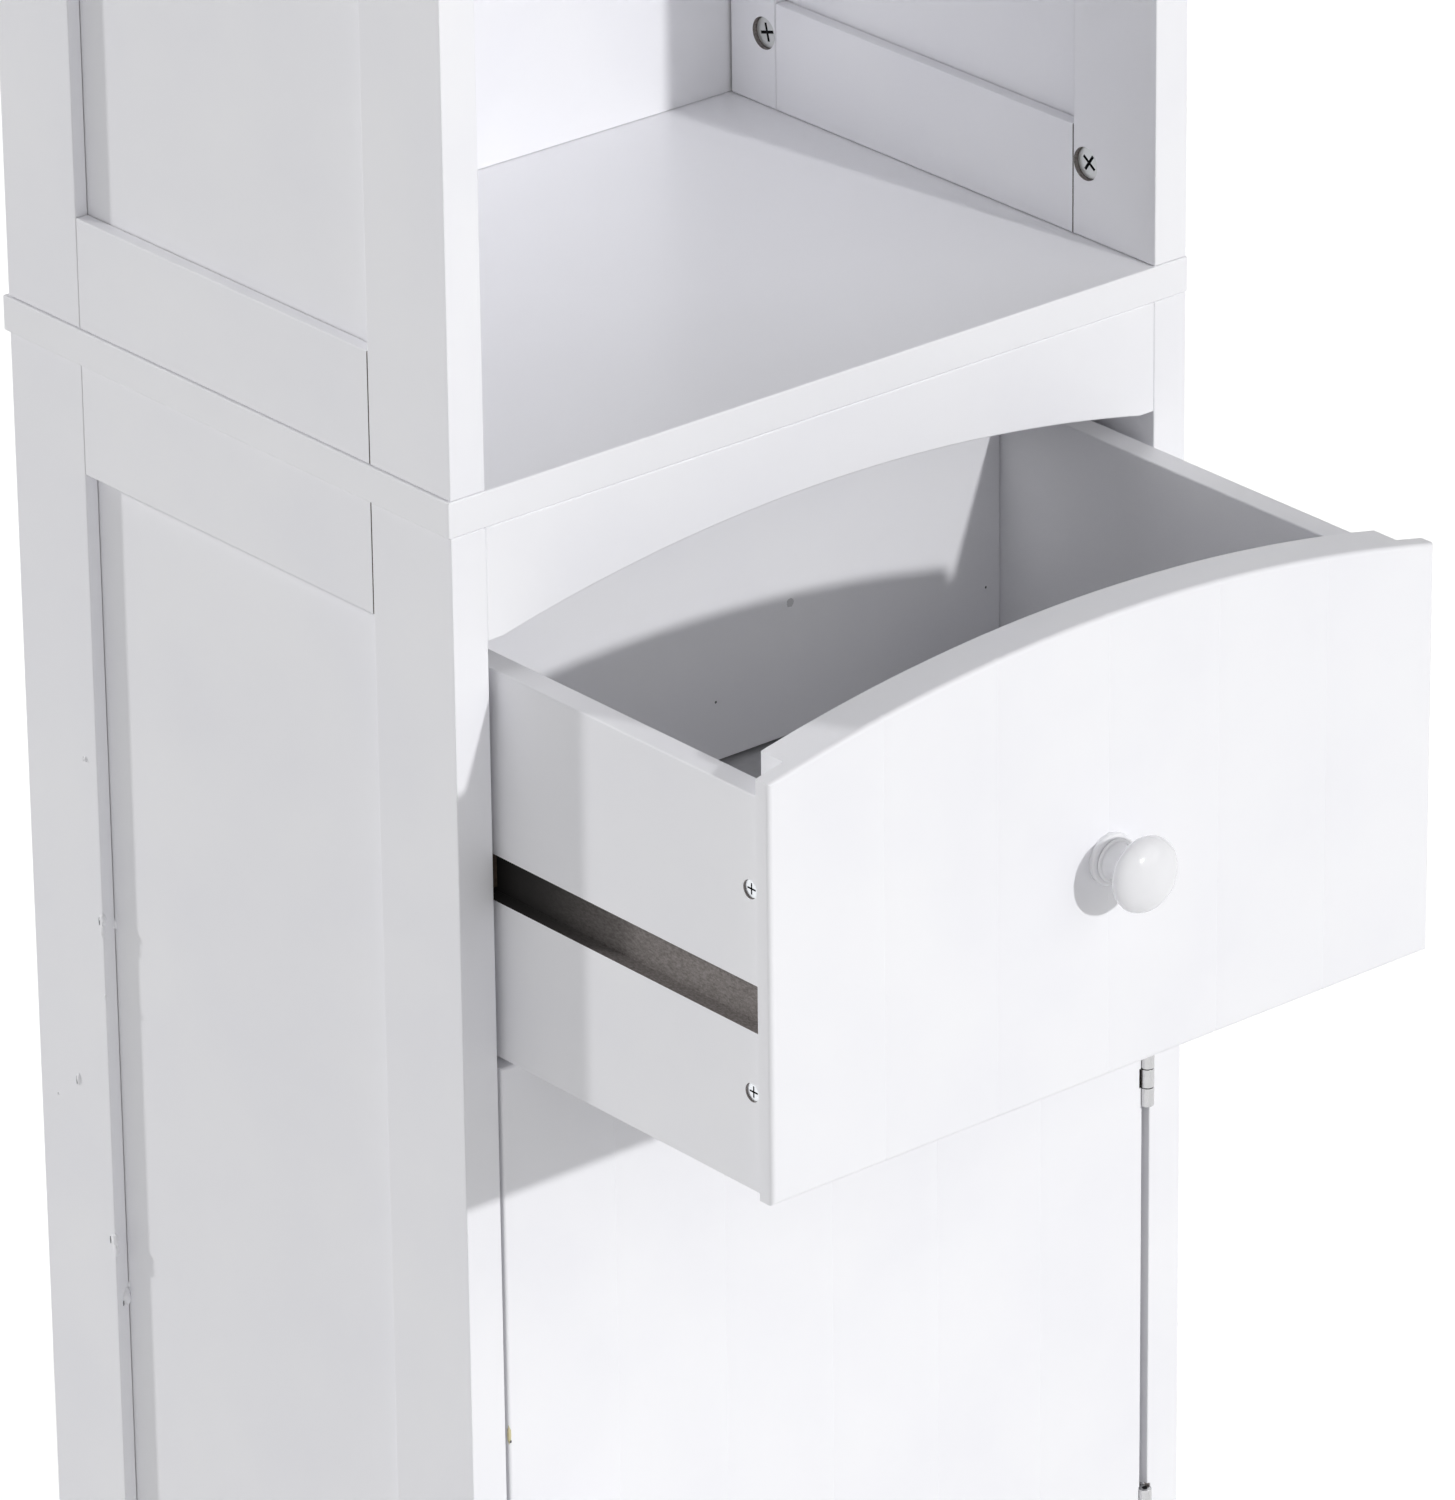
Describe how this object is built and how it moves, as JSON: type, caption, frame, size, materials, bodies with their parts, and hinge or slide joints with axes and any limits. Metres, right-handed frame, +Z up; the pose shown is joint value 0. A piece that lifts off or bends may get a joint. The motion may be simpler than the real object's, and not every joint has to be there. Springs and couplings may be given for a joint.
{
  "type": "bathroom storage tower",
  "caption": "Tall narrow white painted cabinet with panelled side frames, a cupboard with a door below, an arched drawer, an open compartment and an upper cupboard.",
  "frame": {"origin": "middle of the footprint of the tower with its drawer standing open, on the floor", "axes": "+Z up; the fronts face -Y; +X is to the right of someone facing the fronts, which is the hinge side"},
  "size_m": [0.402, 0.504, 1.73],
  "materials": {
    "white_paint": "white satin paint on fibreboard",
    "bare_wood": "bare, sanded",
    "grey_foil": "grey foil on thin fibreboard",
    "zinc_plated_steel": "zinc plated",
    "nickel_plated_steel": "nickel plated, bright",
    "nylon": "moulded",
    "white_plastic": "moulded",
    "glazed_ceramic": "high gloss white glaze"
  },
  "bodies": {
    "carcass": {"lower_left_front_stile": "white_paint", "lower_left_back_stile": "white_paint", "lower_left_top_rail": "white_paint", "lower_left_bottom_rail": "white_paint", "lower_left_panel": "white_paint", "lower_right_front_stile": "white_paint", "lower_right_back_stile": "white_paint", "lower_right_top_rail": "white_paint", "lower_right_bottom_rail": "white_paint", "lower_right_panel": "white_paint", "upper_left_front_stile": "white_paint", "upper_left_back_stile": "white_paint", "upper_left_top_rail": "white_paint", "upper_left_bottom_rail": "white_paint", "upper_left_panel": "white_paint", "upper_right_front_stile": "white_paint", "upper_right_back_stile": "white_paint", "upper_right_top_rail": "white_paint", "upper_right_bottom_rail": "white_paint", "upper_right_panel": "white_paint", "base_board": "white_paint", "middle_board": "white_paint", "top_board": "white_paint", "drawer_shelf": "white_paint", "cupboard_shelf": "white_paint", "lower_shelf": "white_paint", "upper_shelf": "white_paint", "lower_back_panel": "white_paint", "upper_back_panel": "white_paint", "drawer_fascia": "white_paint", "upper_fascia": "white_paint", "apron": "white_paint", "shelf_pins": "zinc_plated_steel", "drawer_runners": "bare_wood", "cam_locks": "zinc_plated_steel", "cam_bolts": "zinc_plated_steel", "dowels": "bare_wood", "foot_glides": "nylon", "carcass_screws": "zinc_plated_steel", "cabinet_hinge_leaves": "nickel_plated_steel", "hinge_pins": "nickel_plated_steel", "magnetic_catches": "white_plastic", "wall_bracket": "zinc_plated_steel"},
    "drawer": {"drawer_front": "white_paint", "drawer_left_side": "white_paint", "drawer_right_side": "white_paint", "drawer_back": "white_paint", "drawer_bottom": "grey_foil", "drawer_screws": "zinc_plated_steel", "drawer_knob": "glazed_ceramic"},
    "lower_door": {"lower_door": "white_paint", "lower_door_knob": "glazed_ceramic", "lower_door_hinge_leaves": "nickel_plated_steel", "lower_door_strike": "zinc_plated_steel", "lower_door_screws": "zinc_plated_steel"},
    "upper_door": {"upper_door": "white_paint", "upper_door_knob": "glazed_ceramic", "upper_door_hinge_leaves": "nickel_plated_steel", "upper_door_strike": "zinc_plated_steel", "upper_door_screws": "zinc_plated_steel"}
  },
  "joints": [
    {"name": "drawer_slide", "type": "slide", "parent": "carcass", "child": "drawer", "axis": [0, -1, 0], "range_m": [-0.174, 0.026]},
    {"name": "lower_door_hinge", "type": "hinge", "parent": "carcass", "child": "lower_door", "pos_m": [0.18, -0.0486, 0.311], "axis": [0, 0, 1], "range_deg": [0, 170]},
    {"name": "upper_door_hinge", "type": "hinge", "parent": "carcass", "child": "upper_door", "pos_m": [0.18, -0.0486, 1.385], "axis": [0, 0, 1], "range_deg": [0, 170]}
  ]
}
